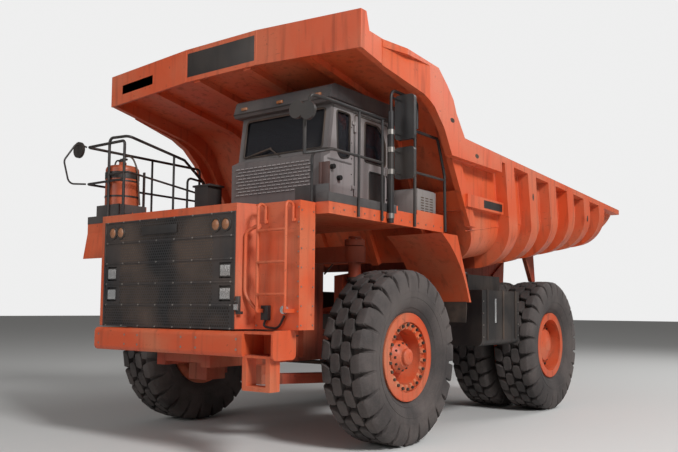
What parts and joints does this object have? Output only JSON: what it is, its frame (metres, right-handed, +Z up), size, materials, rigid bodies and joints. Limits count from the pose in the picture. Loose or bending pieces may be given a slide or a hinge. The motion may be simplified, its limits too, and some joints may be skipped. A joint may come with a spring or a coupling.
{
  "type": "mining dump truck",
  "caption": "Rigid off-road dump truck with an offset cab, ladder, decks and handrails, twin rear wheels and a ribbed rock bed whose canopy covers the cab; the bed tips on telescopic cylinders.",
  "frame": {"origin": "on the ground below the middle of the truck's bounding box", "axes": "+Z up, the truck drives towards -Y, its left side with the cab is +X"},
  "size_m": [4.6, 9.6373, 5.0138],
  "materials": {
    "body_paint": "weathered orange paint",
    "cab_paint": "dusty dark grey paint",
    "frame_paint": "dusty dark orange paint",
    "dark_paint": "satin black paint",
    "grey_paint": "dusty grey paint",
    "rim_paint": "dusty orange paint",
    "axle_iron": "greasy dark casting",
    "tyre": "dusty black",
    "glass": "clear, slightly dusty",
    "lamp": "lamp lens",
    "chrome_rod": "polished rod",
    "steel_tube": "worn steel",
    "cabin_plastic": "matte dark grey",
    "seat_fabric": "dark woven cloth"
  },
  "bodies": {
    "chassis": {"frame_rails": "frame_paint", "cross_members": "frame_paint", "front_bumper": "body_paint", "grille": "dark_paint", "headlamps": "lamp", "front_shroud": "body_paint", "ladder": "body_paint", "left_deck": "body_paint", "right_deck": "body_paint", "power_train": "axle_iron", "cab_floor": "cab_paint", "cab_front": "cab_paint", "cab_side_walls": "cab_paint", "cab_rear_wall": "cab_paint", "cab_roof": "cab_paint", "cab_glass": "glass", "dashboard": "cabin_plastic", "seat_base": "cabin_plastic", "driver_seat": "seat_fabric", "left_handrails": "dark_paint", "right_handrails": "dark_paint", "mirrors": "dark_paint", "extinguisher_tank": "body_paint", "intake_box": "dark_paint", "side_tanks": "dark_paint", "front_suspension": "frame_paint", "rear_axle": "axle_iron", "rear_suspension": "frame_paint"},
    "bed": {"bed_floor": "body_paint", "bed_sides": "body_paint", "bed_front_wall": "body_paint", "canopy": "body_paint", "canopy_beams": "body_paint", "bed_ribs": "body_paint", "bed_shoulders": "body_paint", "bed_underframe": "frame_paint"},
    "cab_door": {"cab_door": "cab_paint", "cab_door_glass": "glass"},
    "tie_rod": {"tie_rod": "axle_iron"},
    "knuckle_left": {"knuckle_left": "axle_iron"},
    "front_wheel_left": {"front_tyre_left": "tyre", "front_rim_left": "rim_paint"},
    "rear_wheels_left": {"rear_tyres_left": "tyre", "rear_rims_left": "rim_paint"},
    "hoist_barrel_left": {"hoist_barrel_left": "dark_paint"},
    "hoist_stage_left": {"hoist_stage_left": "steel_tube"},
    "hoist_rod_left": {"hoist_rod_left": "chrome_rod"},
    "knuckle_right": {"knuckle_right": "axle_iron"},
    "front_wheel_right": {"front_tyre_right": "tyre", "front_rim_right": "rim_paint"},
    "rear_wheels_right": {"rear_tyres_right": "tyre", "rear_rims_right": "rim_paint"},
    "hoist_barrel_right": {"hoist_barrel_right": "dark_paint"},
    "hoist_stage_right": {"hoist_stage_right": "steel_tube"},
    "hoist_rod_right": {"hoist_rod_right": "chrome_rod"}
  },
  "joints": [
    {"name": "steer_left", "type": "hinge", "parent": "chassis", "child": "knuckle_left", "pos_m": [1.22, -2.71, 1.06], "axis": [0, 0, 1], "range_deg": [-35, 35]},
    {"name": "steer_right", "type": "hinge", "parent": "chassis", "child": "knuckle_right", "pos_m": [-1.22, -2.71, 1.06], "axis": [0, 0, 1], "range_deg": [-35, 35]},
    {"name": "tie_rod_eye", "type": "hinge", "parent": "knuckle_left", "child": "tie_rod", "pos_m": [1.22, -2.26, 0.895], "axis": [0, 0, 1], "range_deg": [-35, 35]},
    {"name": "bed_tip", "type": "hinge", "parent": "chassis", "child": "bed", "pos_m": [0, 3.07, 1.83], "axis": [-1, 0, 0], "range_deg": [0, 50]},
    {"name": "cab_door_hinge", "type": "hinge", "parent": "chassis", "child": "cab_door", "pos_m": [1.618, -3.265, 3.41], "axis": [0, 0, -1], "range_deg": [0, 50]},
    {"name": "front_wheel_left_spin", "type": "hinge", "parent": "knuckle_left", "child": "front_wheel_left", "pos_m": [1.795, -2.71, 1.06], "axis": [1, 0, 0], "continuous": true},
    {"name": "rear_wheels_left_spin", "type": "hinge", "parent": "chassis", "child": "rear_wheels_left", "pos_m": [1.435, 1.69, 1.06], "axis": [1, 0, 0], "continuous": true},
    {"name": "hoist_left_swing", "type": "hinge", "parent": "chassis", "child": "hoist_barrel_left", "pos_m": [0.6, 0.34, 0.8], "axis": [-1, 0, 0], "range_deg": [-1, 20]},
    {"name": "hoist_left_stage", "type": "slide", "parent": "hoist_barrel_left", "child": "hoist_stage_left", "axis": [0, 0.0688, 0.9976], "range_m": [-0.002, 1.08]},
    {"name": "hoist_left_rod", "type": "slide", "parent": "hoist_stage_left", "child": "hoist_rod_left", "axis": [0, 0.0688, 0.9976], "range_m": [-0.002, 1.08]},
    {"name": "front_wheel_right_spin", "type": "hinge", "parent": "knuckle_right", "child": "front_wheel_right", "pos_m": [-1.795, -2.71, 1.06], "axis": [1, 0, 0], "continuous": true},
    {"name": "rear_wheels_right_spin", "type": "hinge", "parent": "chassis", "child": "rear_wheels_right", "pos_m": [-1.435, 1.69, 1.06], "axis": [1, 0, 0], "continuous": true},
    {"name": "hoist_right_swing", "type": "hinge", "parent": "chassis", "child": "hoist_barrel_right", "pos_m": [-0.6, 0.34, 0.8], "axis": [-1, 0, 0], "range_deg": [-1, 20]},
    {"name": "hoist_right_stage", "type": "slide", "parent": "hoist_barrel_right", "child": "hoist_stage_right", "axis": [0, 0.0688, 0.9976], "range_m": [-0.002, 1.08]},
    {"name": "hoist_right_rod", "type": "slide", "parent": "hoist_stage_right", "child": "hoist_rod_right", "axis": [0, 0.0688, 0.9976], "range_m": [-0.002, 1.08]}
  ],
  "couplings": [
    {"joint": "steer_right", "follows": "steer_left", "ratio": 1},
    {"joint": "tie_rod_eye", "follows": "steer_left", "ratio": -1},
    {"joint": "hoist_left_swing", "follows": "bed_tip", "ratio": 0.36762},
    {"joint": "hoist_left_stage", "follows": "bed_tip", "m_per_rad": 1.2203},
    {"joint": "hoist_left_rod", "follows": "bed_tip", "m_per_rad": 1.2203},
    {"joint": "hoist_right_swing", "follows": "bed_tip", "ratio": 0.36762},
    {"joint": "hoist_right_stage", "follows": "bed_tip", "m_per_rad": 1.2203},
    {"joint": "hoist_right_rod", "follows": "bed_tip", "m_per_rad": 1.2203}
  ]
}
